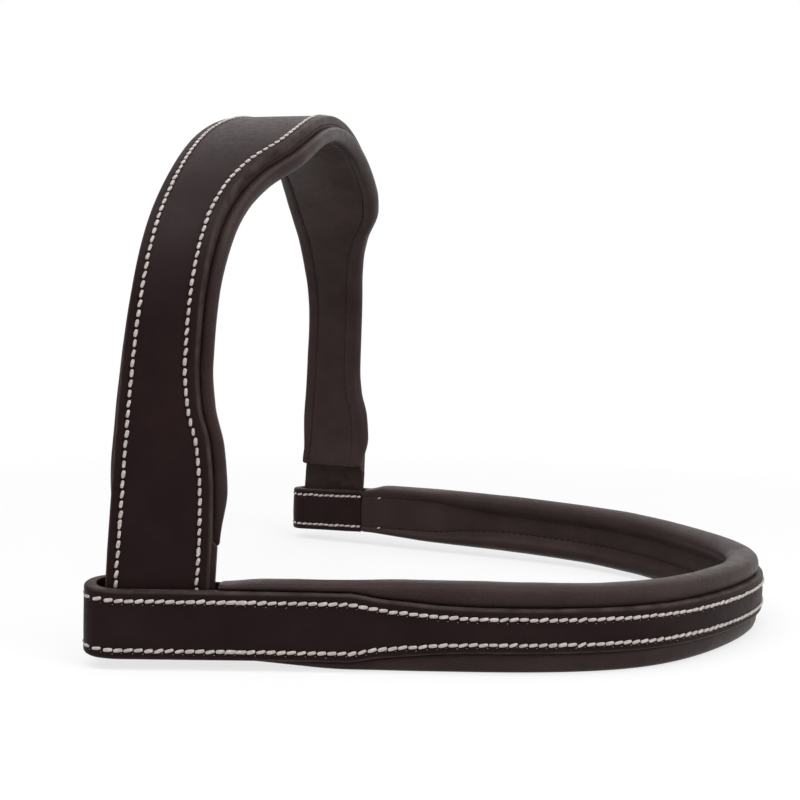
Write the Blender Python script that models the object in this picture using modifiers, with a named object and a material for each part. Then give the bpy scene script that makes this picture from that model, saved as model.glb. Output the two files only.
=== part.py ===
"""Head assembly of a bridle: a padded browband with turned-back end loops, and the padded crown
whose two legs stand in those loops.

The constants are millimetres and degrees, and MM turns them into metres where the meshes are made.
+X is the front of the head, +Z is up, and the assembly is the same on both sides of Y = 0. The
browband rests on Z = 0.
"""

import math

import bmesh
import bpy
import numpy as np

MM = 0.001

# Browband strap, measured along its outer face from the middle of the forehead
BROWBAND_HALF_LENGTH = 227.8
BROWBAND_THICKNESS = 3.2
LOOP_STRAP_HEIGHT = 17.9
MIDDLE_STRAP_HEIGHT = 11.6
STITCH_MARGIN = 2.5
WIDE_END_LENGTH = 70.0
# Past the wide end: distance, and the share of the extra height that is left
NARROWING = ((0, 1), (3, 0.85), (7, 0.62), (12, 0.46), (17, 0.32), (23.5, 0.14), (34, 0.03), (52, 0))
# Plan curve: distance from the middle, and how many degrees the strap turns in 10 mm there
PLAN_BENDS = ((0, 13.7), (36.5, 3.5), (73, 8.3), (109.5, 3.3), (146, -0.5), (182.5, -0.7), (183, 0))

# Play between the crown's leg and the loop
SIDE_PLAY = 0.4
REAR_PLAY = 0.3
FRONT_PLAY = 1.8

# Browband padding: how far its two rolls stand out past the edges of the wide ends of the strap
UPPER_ROLL_PROUD = 2.25
LOWER_ROLL_PROUD = 2.55
UPPER_END_PROUD = 1.45
LOWER_END_PROUD = 0.45
GROUND_CUT = 0.5
PAD_DEPTH = 8.0
CHANNEL_DEPTH = 4.9
BAND_DEPTH = 5.3
UPPER_ROLL_RISE = 12.0
LOWER_ROLL_RISE = 34.0

# Crown straps, measured from the leg's centre line, to the rear (minus) and to the front (plus)
CROWN_FACE_THICKNESS = 2.8
CROWN_BASE_THICKNESS = 2.2
# The base strap is pared down to this under the padding, over this length
PARED_THICKNESS = 1.0
PARING_LENGTH = 16.0
LEG_REAR = 11.8
LEG_FRONT = 15.0
BASE_STRAP_PROUD = 1.6
BASE_STRAP_SHOULDER = 2.2
BASE_STRAP_SETBACK = 0.5
CROWN_STITCH_MARGIN = 3.0
FOOT_HEIGHT = 2.8
PAD_ABOVE_LOOP = 9.8
# Share of the arch from the pad's end to the poll, and how far each edge lies from the centre line
FRONT_EDGE = (
    (0, LEG_FRONT), (0.08, 14.5), (0.15, 13.0), (0.21, 9.9), (0.27, 8.6), (0.35, 8.4), (0.48, 9.0),
    (0.55, 10.5), (0.61, 13.5), (0.70, 20.3), (0.77, 21.8), (0.88, 22.0), (1, 22.0),
)
REAR_EDGE = (
    (0, LEG_REAR), (0.13, 11.4), (0.27, 10.9), (0.43, 10.3), (0.57, 10.6), (0.71, 11.3), (0.85, 10.1), (1, 9.2),
)
# Share of the arch, and how far it has leant over from upright there
ARCH_LEAN = ((0, 0), (0.085, 0.5), (0.31, 6.7), (0.54, 42), (0.77, 64.5), (1, 90))
# Degrees that each leg leans forward, which the arch takes back on its way to the poll
LEG_LEAN = 2.6
TOE_SHARE = 0.9

# Crown padding
FRONT_ROLL_PROUD = 3.3
POLL_ROLL_PROUD = 2.0
END_ROLL_PROUD = 1.6
FRONT_ROLL_RISE = 16.0
REAR_SIDE_PROUD = 0.4
CROWN_PAD_DEPTH = 4.6
CROWN_CHANNEL_DEPTH = 3.5
CROWN_BAND_DEPTH = 3.9
SIDE_DEPTH = 4.0
SIDE_DRAFT = 0.1

# Shared by both paddings
LINER_THICKNESS = 0.9
LIP = 1.5
TUCK = 0.4
CHANNEL_REACH = 0.9
FOAM_INSET = 0.5
ROLL_BULGE = 2.4
GAP = 0.3
FILLING_PLAY = 0.7
EDGE_ROUNDING = 0.9
THIN_EDGE_ROUNDING = 0.6
BASE_EDGE_ROUNDING = 0.4

# How finely the long pieces are divided: the farthest, the sharpest turn and the most that an edge
# moves between two stations
STATION_STEP = 34.0
STATION_TURN = 11.5
STATION_CHANGE = 4.2
LEAST_STEP = 1.0

# Worked out from the sizes above
LEG_THICKNESS = CROWN_FACE_THICKNESS + GAP + CROWN_BASE_THICKNESS
LOOP_SPACE = LEG_THICKNESS + 2 * SIDE_PLAY
FOLD_RADIUS = (LOOP_SPACE + BROWBAND_THICKNESS) / 2
FOLD_AT = BROWBAND_HALF_LENGTH - FOLD_RADIUS - BROWBAND_THICKNESS / 2
# How far past the start of the fold the leg's square corners can reach into its round inside
CORNER_REACH = math.sqrt((LOOP_SPACE / 2) ** 2 - (LEG_THICKNESS / 2) ** 2)
LEG_AT = FOLD_AT + CORNER_REACH - REAR_PLAY - LEG_REAR
LEG_INSET = BROWBAND_THICKNESS + SIDE_PLAY + CROWN_FACE_THICKNESS
INNER_PLY_END = LEG_AT - LEG_FRONT - BASE_STRAP_PROUD - FRONT_PLAY
PAD_END = INNER_PLY_END - GAP
ROW_HEIGHT = LOOP_STRAP_HEIGHT / 2 + LOWER_ROLL_PROUD
LOOP_TOP = ROW_HEIGHT + LOOP_STRAP_HEIGHT / 2
STRAIGHT_LEG = LOOP_TOP + PAD_ABOVE_LOOP - FOOT_HEIGHT


def through(stations, at):
    """A smooth curve through (place, value) pairs that never swings past them."""
    x, y = np.array(stations, float).T
    step = np.diff(x)
    slope = np.diff(y) / step
    tangent = np.zeros(len(x))
    tangent[0], tangent[-1] = slope[0], slope[-1]
    same_way = slope[:-1] * slope[1:] > 0
    weight_a = 2 * step[1:] + step[:-1]
    weight_b = step[1:] + 2 * step[:-1]
    safe_a = np.where(same_way, slope[:-1], 1)
    safe_b = np.where(same_way, slope[1:], 1)
    mean = (weight_a + weight_b) / (weight_a / safe_a + weight_b / safe_b)
    tangent[1:-1] = np.where(same_way, mean, 0)
    at = np.clip(at, x[0], x[-1])
    i = np.clip(np.searchsorted(x, at) - 1, 0, len(step) - 1)
    t = (at - x[i]) / step[i]
    start = (1 + 2 * t) * (1 - t) ** 2 * y[i] + t * (1 - t) ** 2 * step[i] * tangent[i]
    end = t * t * (3 - 2 * t) * y[i + 1] + t * t * (t - 1) * step[i] * tangent[i + 1]
    return start + end


def eased(t):
    """From 0 to 1 with a level start and end."""
    t = np.clip(t, 0, 1)
    return t * t * (3 - 2 * t)


def summed(values, places):
    """The running integral of values over places, from 0."""
    areas = (values[1:] + values[:-1]) / 2 * np.diff(places)
    return np.concatenate([[0], np.cumsum(areas)])


# The browband's plan curve, from the middle of the forehead to one end
PLAN_S = np.linspace(0, BROWBAND_HALF_LENGTH, 457)
PLAN_TURN = np.interp(PLAN_S, *np.array(PLAN_BENDS, float).T)
PLAN_HEADING = np.radians(summed(PLAN_TURN / 10, PLAN_S))
PLAN_BACK = summed(np.sin(PLAN_HEADING), PLAN_S)
PLAN_OUT = summed(np.cos(PLAN_HEADING), PLAN_S)


def plan_at(s):
    """How far back, how far out and which way the strap's outer face runs, at distance s."""
    return (
        np.interp(s, PLAN_S, PLAN_BACK),
        np.interp(s, PLAN_S, PLAN_OUT),
        np.interp(s, PLAN_S, PLAN_HEADING),
    )


END_BACK, END_OUT, END_HEADING = plan_at(FOLD_AT)
FOLD_BACK = END_BACK + (FOLD_RADIUS + BROWBAND_THICKNESS / 2) * (math.cos(END_HEADING) + 1)
FRONT_X = FOLD_BACK / 2


def on_browband(s, depth, height):
    """A point at distance s from the middle (minus on the near side), depth behind the outer face
    and height above the stitching's middle."""
    back, out, heading = plan_at(abs(s))
    x = FRONT_X - back - depth * math.cos(heading)
    y = out - depth * math.sin(heading)
    return np.array([x, math.copysign(y, s), ROW_HEIGHT + height])


def half_height(s):
    """Half the browband strap's height at distance s from the middle."""
    past_end = BROWBAND_HALF_LENGTH - WIDE_END_LENGTH - abs(s)
    share = through(NARROWING, past_end)
    return (MIDDLE_STRAP_HEIGHT + (LOOP_STRAP_HEIGHT - MIDDLE_STRAP_HEIGHT) * share) / 2


def evenly(places, turn, change):
    """Places chosen so that their distance apart, the turn between them and the change of an edge
    add up to the same share of a full step, a full turn and a full change each time."""
    effort = np.abs(np.diff(places)) / STATION_STEP
    effort += np.abs(np.diff(turn)) / math.radians(STATION_TURN)
    effort += np.abs(np.diff(change)) / STATION_CHANGE
    effort = np.concatenate([[0], np.cumsum(effort)])
    count = math.ceil(effort[-1]) + 1
    return np.interp(np.linspace(0, effort[-1], count), effort, places)


def halved(places):
    """The same places with one more midway between each two."""
    finer = np.zeros(2 * len(places) - 1)
    finer[::2] = places
    finer[1::2] = (places[:-1] + places[1:]) / 2
    return finer


def pad_above(s):
    risen = eased((PAD_END - abs(s)) / UPPER_ROLL_RISE)
    return LOOP_STRAP_HEIGHT / 2 + UPPER_END_PROUD + (UPPER_ROLL_PROUD - UPPER_END_PROUD) * risen


def pad_below(s):
    risen = eased((PAD_END - abs(s)) / LOWER_ROLL_RISE)
    full = LOWER_ROLL_PROUD + GROUND_CUT
    return LOOP_STRAP_HEIGHT / 2 + LOWER_END_PROUD + (full - LOWER_END_PROUD) * risen


PAD_S = np.linspace(0, PAD_END, 400)
PAD_CHANGE = half_height(PAD_S) + 2 * (pad_above(PAD_S) + pad_below(PAD_S))
BROWBAND_HALF = evenly(PAD_S, plan_at(PAD_S)[2], PAD_CHANGE)


def browband_stations(end, finer=False):
    """Distances from one end of a browband piece to the other. All its pieces share them, so their
    facets lie side by side."""
    half = np.append(BROWBAND_HALF[BROWBAND_HALF < end - LEAST_STEP], end)
    if finer:
        half = halved(half)
    return np.concatenate([-half[:0:-1], half])


# The crown's centre line from the pad's end to the poll, on the near side
LEG_BACK, LEG_OUT, LEG_HEADING = plan_at(LEG_AT)
LEG_X = FRONT_X - LEG_BACK - LEG_INSET * math.cos(LEG_HEADING)
LEG_Y = LEG_OUT - LEG_INSET * math.sin(LEG_HEADING)
LEG_TOE = math.pi / 2 - LEG_HEADING
ARCH_SHARE = np.linspace(0, 1, 301)
ARCH_ANGLE = np.radians(through(ARCH_LEAN, ARCH_SHARE))
ARCH_LENGTH = LEG_Y / summed(np.sin(ARCH_ANGLE), ARCH_SHARE)[-1]
ARCH_IN = summed(np.sin(ARCH_ANGLE), ARCH_SHARE) * ARCH_LENGTH
ARCH_UP = summed(np.cos(ARCH_ANGLE), ARCH_SHARE) * ARCH_LENGTH
FORWARD_SLOPE = math.tan(math.radians(LEG_LEAN))
CROWN_HALF_LENGTH = STRAIGHT_LEG + ARCH_LENGTH


def arch_share(d):
    """How much of the arch lies below distance d from the foot: nothing along the straight leg."""
    return np.clip((d - STRAIGHT_LEG) / ARCH_LENGTH, 0, 1)


def on_crown(d, side, across, out):
    """A point at distance d from the foot, on the near (-1) or far (1) side: across to the front of
    the centre line, and out from the seam between the two straps."""
    share = arch_share(d)
    angle = np.interp(share, ARCH_SHARE, ARCH_ANGLE)
    up_leg = min(d, STRAIGHT_LEG)
    centre = np.array([
        LEG_X + FORWARD_SLOPE * (up_leg + ARCH_LENGTH * (share - share ** 2 / 2)),
        np.interp(share, ARCH_SHARE, ARCH_IN) - LEG_Y,
        FOOT_HEIGHT + up_leg + np.interp(share, ARCH_SHARE, ARCH_UP),
    ])
    toe = LEG_TOE * (1 - eased(share / TOE_SHARE))
    width = np.array([math.cos(toe), math.sin(toe), 0])
    along = np.array([FORWARD_SLOPE * (1 - share), math.sin(angle), math.cos(angle)])
    outward = np.cross(width, along)
    outward /= np.linalg.norm(outward)
    point = centre + across * width + out * outward
    return point * np.array([1, -side, 1])


def front_edge(d):
    return float(through(FRONT_EDGE, arch_share(d)))


def rear_edge(d):
    return -float(through(REAR_EDGE, arch_share(d)))


ARCH_D = np.linspace(STRAIGHT_LEG, CROWN_HALF_LENGTH, 400)
ARCH_TURN = np.interp(arch_share(ARCH_D), ARCH_SHARE, ARCH_ANGLE)
CROWN_HALF = evenly(ARCH_D, ARCH_TURN, np.array([front_edge(d) for d in ARCH_D]))


def crown_stations(start, finer=False):
    """(distance, side) pairs from one foot over the poll to the other."""
    half = np.insert(CROWN_HALF[CROWN_HALF > start + LEAST_STEP], 0, start)
    if finer:
        half = halved(half)
    near = [(d, -1) for d in half]
    far = [(d, 1) for d in half[-2::-1]]
    return near + far


def material_of(name, colour, roughness):
    material = bpy.data.materials.new(name)
    material.use_nodes = True
    shader = material.node_tree.nodes["Principled BSDF"]
    shader.inputs["Base Color"].default_value = (*colour, 1)
    shader.inputs["Roughness"].default_value = roughness
    shader.inputs["Metallic"].default_value = 0
    return material


def make_object(name, mesh_builder, material, collection):
    mesh = bpy.data.meshes.new(name)
    mesh_builder.to_mesh(mesh)
    mesh_builder.free()
    mesh.shade_smooth()
    mesh.set_sharp_from_angle(angle=math.radians(50))
    mesh.materials.append(material)
    piece = bpy.data.objects.new(name, mesh)
    collection.objects.link(piece)
    return piece


def sheet(rows, closed_ends=False):
    """A surface through rows of points, with its ends closed by one face each if wanted."""
    builder = bmesh.new()
    grid = [[builder.verts.new(point * MM) for point in row] for row in rows]
    for row, following in zip(grid, grid[1:]):
        for i in range(len(row) - 1):
            builder.faces.new((row[i], row[i + 1], following[i + 1], following[i]))
    if closed_ends:
        builder.faces.new(grid[0][::-1])
        builder.faces.new(grid[-1])
        bmesh.ops.recalc_face_normals(builder, faces=builder.faces)
    return builder


def bar(rings):
    """A solid lofted through closed rings of points."""
    builder = bmesh.new()
    grid = [[builder.verts.new(point * MM) for point in ring] for ring in rings]
    count = len(grid[0])
    for ring, following in zip(grid, grid[1:]):
        for i in range(count):
            j = (i + 1) % count
            builder.faces.new((ring[i], ring[j], following[j], following[i]))
    builder.faces.new(grid[0][::-1])
    builder.faces.new(grid[-1])
    bmesh.ops.recalc_face_normals(builder, faces=builder.faces)
    return builder


def thicken(piece, thickness, offset):
    solidify = piece.modifiers.new("thickness", "SOLIDIFY")
    solidify.thickness = thickness * MM
    solidify.offset = offset
    solidify.use_even_offset = True


def round_edges(piece, width, segments):
    bevel = piece.modifiers.new("edges", "BEVEL")
    bevel.width = width * MM
    bevel.segments = segments
    bevel.limit_method = "ANGLE"
    bevel.angle_limit = math.radians(50)


def leather_strap(name, rows, thickness, rounding, segments, material, collection):
    piece = make_object(name, sheet(rows), material, collection)
    thicken(piece, thickness, 0)
    round_edges(piece, rounding, segments)
    return piece


def browband_face_strap(material, collection):
    """One strap: the inner ply of the near loop, its fold, the whole face, and the same at the far
    end."""
    face_depth = BROWBAND_THICKNESS / 2
    face = [(s, face_depth) for s in browband_stations(FOLD_AT, finer=True)]
    turns = np.radians(np.linspace(0, 180, 9)[1:])
    fold = [
        (FOLD_AT + FOLD_RADIUS * math.sin(a), face_depth + FOLD_RADIUS * (1 - math.cos(a)))
        for a in turns
    ]
    ply = [(s, face_depth + 2 * FOLD_RADIUS) for s in (0.5 * (FOLD_AT + INNER_PLY_END), INNER_PLY_END)]
    end = fold + ply
    line = [(-s, depth) for s, depth in end[::-1]] + face + end
    rows = []
    for s, depth in line:
        half = half_height(s)
        rows.append([on_browband(s, depth, height) for height in (-half, half)])
    return leather_strap(
        "browband_face_strap", rows, BROWBAND_THICKNESS, EDGE_ROUNDING, 2, material, collection
    )


def roll_profile(row, edge, top, depth, channel):
    """Half of a padding's outline, from its turned-in lip up beside the strap's edge, round the roll
    and into the channel, as (height, depth) pairs measured from the middle and from the strap's
    back."""
    proud = top - edge
    height = top - row
    bulge = min(ROLL_BULGE, 0.7 * proud)
    return [
        (row - LIP, 0),
        (edge - TUCK, 0),
        (edge + GAP + 0.22 * proud, -0.6 * bulge),
        (edge + 0.65 * proud, -bulge),
        (top, 0.12 * depth),
        (top - 0.05 * height, 0.6 * depth),
        (top - 0.34 * height, depth),
        (row + CHANNEL_REACH, 0.92 * depth),
        (row, channel),
    ]


def side_profile(row, edge, side):
    """The same for a side of the crown's padding that is only turned in, with no roll."""
    return [
        (row - LIP, 0),
        (edge - TUCK, 0),
        (side, 0.22 * SIDE_DEPTH),
        (side - SIDE_DRAFT, 0.7 * SIDE_DEPTH),
        (row + CHANNEL_REACH, SIDE_DEPTH),
        (row, CROWN_CHANNEL_DEPTH),
    ]


def core_ring(row, top, depth, sides=8):
    """The section of a roll's filling, inside the liner."""
    wall = LINER_THICKNESS + FILLING_PLAY
    low = row + wall
    high = top - wall
    front = LINER_THICKNESS + GAP
    back = depth - wall
    ring = []
    for i in range(sides):
        a = math.radians(360 / sides * (i + 0.5))
        height = (low + high) / 2 + (high - low) / 2 * math.sin(a)
        ring.append((height, (front + back) / 2 + (back - front) / 2 * math.cos(a)))
    return ring


def slab_ring(low, high, channel):
    """The section of the flat filling between the two channels."""
    front = LINER_THICKNESS + GAP
    back = channel - LINER_THICKNESS - GAP
    return [(low, front), (high, front), (high, back), (low, back)]


def browband_row(s, section, floor=0):
    """A section's (height, depth) pairs as points on the browband, cut flat where they would reach
    below the floor."""
    behind = BROWBAND_THICKNESS + GAP
    lowest = floor - ROW_HEIGHT
    return [on_browband(s, behind + depth, max(height, lowest)) for height, depth in section]


def browband_liner(material, collection):
    rows = []
    for s in browband_stations(PAD_END):
        edge = half_height(s)
        row = edge - STITCH_MARGIN
        upper = roll_profile(row, edge, pad_above(s), PAD_DEPTH, CHANNEL_DEPTH)
        lower = roll_profile(row, edge, pad_below(s), PAD_DEPTH, CHANNEL_DEPTH)
        section = upper + [(0, BAND_DEPTH)] + [(-height, depth) for height, depth in lower[::-1]]
        rows.append(browband_row(s, section))
    piece = make_object("browband_liner", sheet(rows, closed_ends=True), material, collection)
    thicken(piece, LINER_THICKNESS, -1)
    return piece


def browband_core(name, sign, edge_at, material, collection):
    """The filling of the upper (1) or lower (-1) roll."""
    rings = []
    for s in browband_stations(PAD_END - UPPER_ROLL_RISE):
        row = half_height(s) - STITCH_MARGIN
        ring = core_ring(row, edge_at(s), PAD_DEPTH)
        section = [(sign * height, depth) for height, depth in ring]
        rings.append(browband_row(s, section, floor=LINER_THICKNESS + FILLING_PLAY))
    return make_object(name, bar(rings), material, collection)


def browband_foam(material, collection):
    rings = []
    for s in browband_stations(PAD_END - LINER_THICKNESS - 2 * FILLING_PLAY):
        half = half_height(s) - STITCH_MARGIN - FOAM_INSET
        rings.append(browband_row(s, slab_ring(-half, half, CHANNEL_DEPTH)))
    return make_object("browband_foam", bar(rings), material, collection)


def base_front_edge(d):
    """The base strap is proud of the face strap along the leg and set back under the padding."""
    narrowed = eased((d - STRAIGHT_LEG + GAP + BASE_STRAP_SHOULDER) / BASE_STRAP_SHOULDER)
    return front_edge(d) + BASE_STRAP_PROUD - (BASE_STRAP_PROUD + BASE_STRAP_SETBACK) * narrowed


def base_thickness(d):
    """The base strap is pared down from the pad's end upwards."""
    pared = eased((d - STRAIGHT_LEG) / PARING_LENGTH)
    return CROWN_BASE_THICKNESS + (PARED_THICKNESS - CROWN_BASE_THICKNESS) * pared


def crown_face_strap(material, collection):
    middle = CROWN_FACE_THICKNESS / 2
    rows = [
        [on_crown(d, side, across, middle) for across in (rear_edge(d), front_edge(d))]
        for d, side in crown_stations(0, finer=True)
    ]
    return leather_strap(
        "crown_face_strap", rows, CROWN_FACE_THICKNESS, THIN_EDGE_ROUNDING, 2, material, collection
    )


def crown_base_strap(material, collection):
    pad_start = STRAIGHT_LEG - GAP
    shoulder = [(pad_start - BASE_STRAP_SHOULDER * share, -1) for share in (1, 0.5, 0)]
    far_shoulder = [(d, 1) for d, _ in shoulder[::-1]]
    arch = crown_stations(STRAIGHT_LEG, finer=True)
    stations = [(0, -1)] + shoulder + arch + far_shoulder + [(0, 1)]
    rings = []
    for d, side in stations:
        low, high = rear_edge(d), base_front_edge(d)
        top, back = -GAP, -GAP - base_thickness(d)
        corners = ((low, top), (high, top), (high, back), (low, back))
        rings.append([on_crown(d, side, across, out) for across, out in corners])
    piece = make_object("crown_base_strap", bar(rings), material, collection)
    round_edges(piece, BASE_EDGE_ROUNDING, 1)
    return piece


def crown_row(d, side, section):
    """A section's (across, depth) pairs as points under the base strap."""
    behind = 2 * GAP + base_thickness(d)
    return [on_crown(d, side, across, -behind - depth) for across, depth in section]


def crown_lines(d):
    """Where the two channels and the padding's two sides run."""
    front, rear = front_edge(d), rear_edge(d)
    risen = eased((d - STRAIGHT_LEG) / FRONT_ROLL_RISE)
    near_poll = eased(2 * arch_share(d) - 1)
    proud = END_ROLL_PROUD + (FRONT_ROLL_PROUD - END_ROLL_PROUD) * risen
    proud += (POLL_ROLL_PROUD - FRONT_ROLL_PROUD) * near_poll
    return rear - REAR_SIDE_PROUD, rear + CROWN_STITCH_MARGIN, front - CROWN_STITCH_MARGIN, front + proud


def crown_liner(material, collection):
    rows = []
    for d, side in crown_stations(STRAIGHT_LEG):
        rear_top, rear_row, front_row, front_top = crown_lines(d)
        front = roll_profile(
            front_row, front_edge(d), front_top, CROWN_PAD_DEPTH, CROWN_CHANNEL_DEPTH
        )
        rear = side_profile(-rear_row, -rear_edge(d), -rear_top)
        middle = ((front_row + rear_row) / 2, CROWN_BAND_DEPTH)
        section = front + [middle] + [(-across, depth) for across, depth in rear[::-1]]
        rows.append(crown_row(d, side, section))
    piece = make_object("crown_liner", sheet(rows, closed_ends=True), material, collection)
    thicken(piece, LINER_THICKNESS, -1)
    return piece


def crown_bar(name, section_at, material, collection):
    start = STRAIGHT_LEG + LINER_THICKNESS + 2 * FILLING_PLAY
    rings = [crown_row(d, side, section_at(d)) for d, side in crown_stations(start)]
    return make_object(name, bar(rings), material, collection)


def front_core_section(d):
    _, _, front_row, front_top = crown_lines(d)
    return core_ring(front_row, front_top, CROWN_PAD_DEPTH)


def crown_foam_section(d):
    _, rear_row, front_row, _ = crown_lines(d)
    return slab_ring(rear_row + FOAM_INSET, front_row - FOAM_INSET, CROWN_CHANNEL_DEPTH)


def main():
    for old in list(bpy.data.objects):
        bpy.data.objects.remove(old, do_unlink=True)
    collection = bpy.data.collections.new("bridle")
    bpy.context.scene.collection.children.link(collection)

    strap_leather = material_of("strap_leather", (0.021, 0.014, 0.014), 0.42)
    base_leather = material_of("base_leather", (0.026, 0.018, 0.018), 0.5)
    liner_leather = material_of("liner_leather", (0.065, 0.048, 0.050), 0.55)
    foam = material_of("foam", (0.30, 0.28, 0.26), 0.95)

    browband_face_strap(strap_leather, collection)
    browband_liner(liner_leather, collection)
    browband_foam(foam, collection)
    browband_core("browband_upper_roll_core", 1, pad_above, foam, collection)
    browband_core("browband_lower_roll_core", -1, pad_below, foam, collection)

    crown_face_strap(strap_leather, collection)
    crown_base_strap(base_leather, collection)
    crown_liner(liner_leather, collection)
    crown_bar("crown_foam", crown_foam_section, foam, collection)
    crown_bar("crown_front_roll_core", front_core_section, foam, collection)


main()
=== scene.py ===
"""Looks for the head assembly of a bridle: leather straps, padded linings and sewing threads.

Lengths are millimetres and angles degrees. MM turns finished points into metres, and the numbers of the
lamps, the floor and the materials are in metres already. +X is the front of the head and +Z is up. The
near side, where the camera is, has Y below 0. The CAD is alike on both sides, and the pieces nearly so.
"""

import math

import bpy
import numpy as np
from mathutils import Matrix, Vector


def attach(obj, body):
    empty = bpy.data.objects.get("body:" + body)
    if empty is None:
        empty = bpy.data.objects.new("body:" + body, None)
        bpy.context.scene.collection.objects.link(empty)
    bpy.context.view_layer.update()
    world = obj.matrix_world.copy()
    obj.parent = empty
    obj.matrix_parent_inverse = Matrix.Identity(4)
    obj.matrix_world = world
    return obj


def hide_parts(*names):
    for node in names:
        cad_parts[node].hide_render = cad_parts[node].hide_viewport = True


MM = 0.001

# Sizes of the CAD, the browband first. A roll is proud by what it stands past the strap's edge, and its
# rise is the length that it takes to grow from its end
BROWBAND_HALF_LENGTH = 227.8
BROWBAND_THICKNESS = 3.2
LOOP_STRAP_HEIGHT = 17.9
MIDDLE_STRAP_HEIGHT = 11.6
STITCH_MARGIN = 2.5
WIDE_END_LENGTH = 70.0
# Past the wide end: distance, and the share of the extra height that is left
NARROWING = ((0, 1), (3, 0.85), (7, 0.62), (12, 0.46), (17, 0.32), (23.5, 0.14), (34, 0.03), (52, 0))
# Plan curve: distance from the middle, and how many degrees the strap turns in 10 mm there
PLAN_BENDS = ((0, 13.7), (36.5, 3.5), (73, 8.3), (109.5, 3.3), (146, -0.5), (182.5, -0.7), (183, 0))
SIDE_PLAY = 0.4
REAR_PLAY = 0.3
FRONT_PLAY = 1.8
UPPER_ROLL_PROUD = 2.25
LOWER_ROLL_PROUD = 2.55
UPPER_END_PROUD = 1.45
LOWER_END_PROUD = 0.45
PAD_DEPTH = 8.0
BAND_DEPTH = 5.3
UPPER_ROLL_RISE = 12.0
LOWER_ROLL_RISE = 34.0
CROWN_FACE_THICKNESS = 2.8
CROWN_BASE_THICKNESS = 2.2
PARED_THICKNESS = 1.0
PARING_LENGTH = 16.0
LEG_REAR = 11.8
LEG_FRONT = 15.0
BASE_STRAP_PROUD = 1.6
BASE_STRAP_SHOULDER = 2.2
CROWN_STITCH_MARGIN = 3.0
FOOT_HEIGHT = 2.8
PAD_ABOVE_LOOP = 9.8
# Share of the arch from the padding's end to the poll, and how far each edge is from the centre line
FRONT_EDGE = (
    (0, LEG_FRONT), (0.08, 14.5), (0.15, 13.0), (0.21, 9.9), (0.27, 8.6), (0.35, 8.4), (0.48, 9.0),
    (0.55, 10.5), (0.61, 13.5), (0.70, 20.3), (0.77, 21.8), (0.88, 22.0), (1, 22.0),
)
REAR_EDGE = (
    (0, LEG_REAR), (0.13, 11.4), (0.27, 10.9), (0.43, 10.3), (0.57, 10.6), (0.71, 11.3),
    (0.85, 10.1), (1, 9.2),
)
# Share of the arch, and how far it has leant over from upright there
ARCH_LEAN = ((0, 0), (0.085, 0.5), (0.31, 6.7), (0.54, 42), (0.77, 64.5), (1, 90))
LEG_LEAN = 2.6
TOE_SHARE = 0.9
FRONT_ROLL_PROUD = 3.3
POLL_ROLL_PROUD = 2.0
END_ROLL_PROUD = 1.6
FRONT_ROLL_RISE = 16.0
REAR_SIDE_PROUD = 0.4
CROWN_PAD_DEPTH = 4.6
CROWN_BAND_DEPTH = 3.9
SIDE_DEPTH = 4.0
LIP = 1.5
GAP = 0.3

# Sewing. A tack is a place where the thread goes over itself three times, and a speck is the bit of
# thread that shows in a needle hole. Slants are degrees from the row
STITCH_PITCH = 2.62
THREAD_RADIUS = 0.44
BROWBAND_STITCH = 2.42
CROWN_STITCH = 2.05
BROWBAND_SLANT = 10.0
CROWN_SLANT = 10.0
END_STITCH = 1.8
END_STITCH_INSET = 0.8
THREAD_LIFT = 0.12
THREAD_FLATNESS = 0.8
LEAN_SPREAD = 3.5
ASIDE_SPREAD = 0.05
WIDTH_RANGE = (0.9, 1.1)
LENGTH_RANGE = (0.93, 1.03)
SPECK_ALONG = (0.9, 1.2)
SPECK_BELOW = 0.85
SPECK_SPREAD = 0.12
SPECK_SINK = 0.1
SPECK_SLANT = 25.0
SPECK_LENGTH = 0.3
SPECK_RADIUS = 0.06
NEAR_FOOT_MARGIN = 2.0
BROWBAND_TACKS = (186.0, 188.6)
CROWN_FRONT_TACK = 28.0
CROWN_REAR_TACK = 33.5
# How far along the stitch each upper thread of a tack lies, and its slant in slants of the row
TACK_THREADS = ((-0.3, 2.4), (0.05, 1.2), (0.34, 2.8))
TACK_LIFT = 0.22
TACK_SHORTER = 0.62
TACK_THINNER = 0.85
TACK_BASE_SLANT = 0.5
TACK_BASE_THICKER = 1.1
# The bar is the tack's underside in the padding's channel
TACK_BAR = 1.5
TACK_BAR_INSET = 2.0
TACK_BAR_SLANT = 20.0
TACK_BAR_RADIUS = 0.28
TACK_BAR_LIFT = 0.05
HOLE_DEPTH = 0.35
HOLE_BELOW = 0.8
HOLE_WIDTH = 0.24
HOLE_WIDTH_UNDER = 0.3
HOLE_LENGTH = 0.4
GROOVE_DEPTH = 0.16
GROOVE_WIDTH = 0.6
PUCKER = 0.4
BESIDE_HOLE_SHADE = 0.35

# Fineness, rounding and evenness. The ending is where a padding's last rings are, counted from its end.
# The waves have these lengths, and each starts anywhere in the phase range, which is in radians
STATIONS_PER_STITCH = 4
ENDING = (1.2, 0.8, 0.4, 0.15)
RING_STEPS = 2
ROW_REACH = 1.1
STRAP_BELLY = 0.06
UNDER_ROUNDING = 0.4
BASE_ROUNDING = 0.2
BASE_OVERLAP = 0.02
# How far the whole base strap pales towards its edge colour, which is partly wear and partly a painted
# highlight
BASE_PALING = 0.4
WAVES = (61.0, 37.0, 23.0, 13.0)
PHASE_RANGE = 6.3
ROLL_SWELL = 0.012
BAND_CROWN = 0.12

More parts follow.
